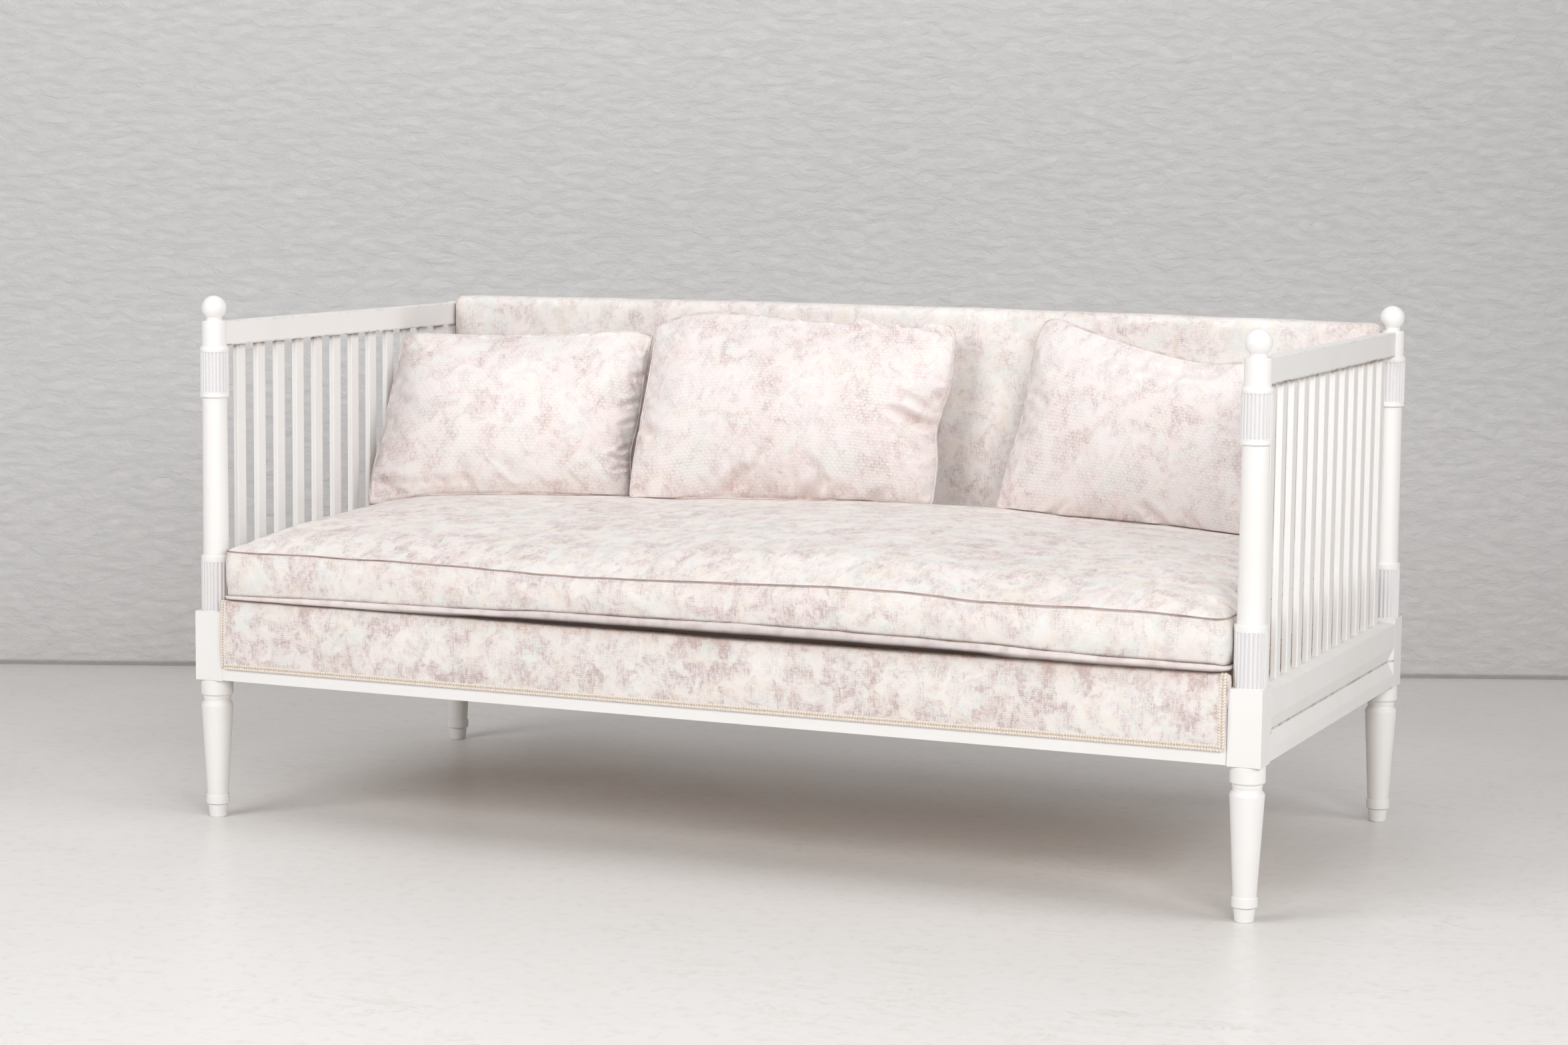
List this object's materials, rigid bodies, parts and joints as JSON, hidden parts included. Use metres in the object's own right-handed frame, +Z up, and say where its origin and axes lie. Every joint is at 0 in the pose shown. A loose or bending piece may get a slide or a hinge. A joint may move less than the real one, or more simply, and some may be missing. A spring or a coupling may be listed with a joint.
{
  "type": "bench bed",
  "caption": "Slatted-arm bench bed with turned posts, upholstered back and seat, and a front that pulls out with alternate slats to widen the seat into a bed.",
  "frame": {"origin": "on the floor, midway between the four posts", "axes": "+X along the seat, +Y to the back, +Z up"},
  "size_m": [1.8952, 0.9221, 0.906],
  "materials": {
    "painted_wood": "satin chalky paint",
    "bare_wood": "planed pine",
    "printed_fabric": "matte woven",
    "braid": "matte woven",
    "steel": "dull"
  },
  "bodies": {
    "frame": {"arm_rail_left": "painted_wood", "arm_rail_right": "painted_wood", "arm_slat_01_left": "painted_wood", "arm_slat_01_right": "painted_wood", "arm_slat_02_left": "painted_wood", "arm_slat_02_right": "painted_wood", "arm_slat_03_left": "painted_wood", "arm_slat_03_right": "painted_wood", "arm_slat_04_left": "painted_wood", "arm_slat_04_right": "painted_wood", "arm_slat_05_left": "painted_wood", "arm_slat_05_right": "painted_wood", "arm_slat_06_left": "painted_wood", "arm_slat_06_right": "painted_wood", "arm_slat_07_left": "painted_wood", "arm_slat_07_right": "painted_wood", "arm_slat_08_left": "painted_wood", "arm_slat_08_right": "painted_wood", "arm_slat_09_left": "painted_wood", "arm_slat_09_right": "painted_wood", "arm_slat_10_left": "painted_wood", "arm_slat_10_right": "painted_wood", "arm_slat_11_left": "painted_wood", "arm_slat_11_right": "painted_wood", "arm_slat_12_left": "painted_wood", "arm_slat_12_right": "painted_wood", "back_bottom_rail": "bare_wood", "back_outer_cover": "printed_fabric", "back_padding": "printed_fabric", "back_stile_left": "bare_wood", "back_stile_right": "bare_wood", "back_top_rail": "bare_wood", "finial_front_left": "painted_wood", "finial_front_right": "painted_wood", "finial_rear_right": "painted_wood", "fixed_seat_slats": "bare_wood", "front_bearer": "bare_wood", "post_front_left": "painted_wood", "post_front_right": "painted_wood", "post_rear_left": "painted_wood", "post_rear_right": "painted_wood", "rear_ledger": "bare_wood", "rear_rail": "painted_wood", "side_rail_left": "painted_wood", "side_rail_right": "painted_wood", "slide_runner_left": "bare_wood", "slide_runner_right": "bare_wood"},
    "pull_out_front": {"front_board": "painted_wood", "front_padding": "printed_fabric", "gimp_braid": "braid", "moving_seat_slats": "bare_wood", "slide_batten": "bare_wood", "leg_bolt_left": "steel", "leg_bolt_right": "steel"},
    "support_leg_left": {"support_leg_left": "bare_wood"},
    "support_leg_right": {"support_leg_right": "bare_wood"},
    "seat_cushion": {"seat_cushion": "printed_fabric"},
    "cushion_left": {"cushion_left": "printed_fabric"},
    "cushion_centre": {"cushion_centre": "printed_fabric"},
    "cushion_right": {"cushion_right": "printed_fabric"}
  },
  "joints": [
    {"name": "pull_out", "type": "slide", "parent": "frame", "child": "pull_out_front", "axis": [0, -1, 0], "range_m": [0, 0.56]},
    {"name": "leg_fold_left", "type": "hinge", "parent": "pull_out_front", "child": "support_leg_left", "pos_m": [-0.8, -0.4345, 0.3], "axis": [0, 1, 0], "range_deg": [0, 90]},
    {"name": "leg_fold_right", "type": "hinge", "parent": "pull_out_front", "child": "support_leg_right", "pos_m": [0.8, -0.4345, 0.3], "axis": [0, -1, 0], "range_deg": [0, 90]},
    {"name": "lift_seat_cushion", "type": "slide", "parent": "frame", "child": "seat_cushion", "axis": [0, 0, 1], "range_m": [0, 0.3]},
    {"name": "lift_cushion_left", "type": "slide", "parent": "seat_cushion", "child": "cushion_left", "axis": [0, 0, 1], "range_m": [0, 0.4]},
    {"name": "lift_cushion_centre", "type": "slide", "parent": "seat_cushion", "child": "cushion_centre", "axis": [0, 0, 1], "range_m": [0, 0.4]},
    {"name": "lift_cushion_right", "type": "slide", "parent": "seat_cushion", "child": "cushion_right", "axis": [0, 0, 1], "range_m": [0, 0.4]}
  ]
}
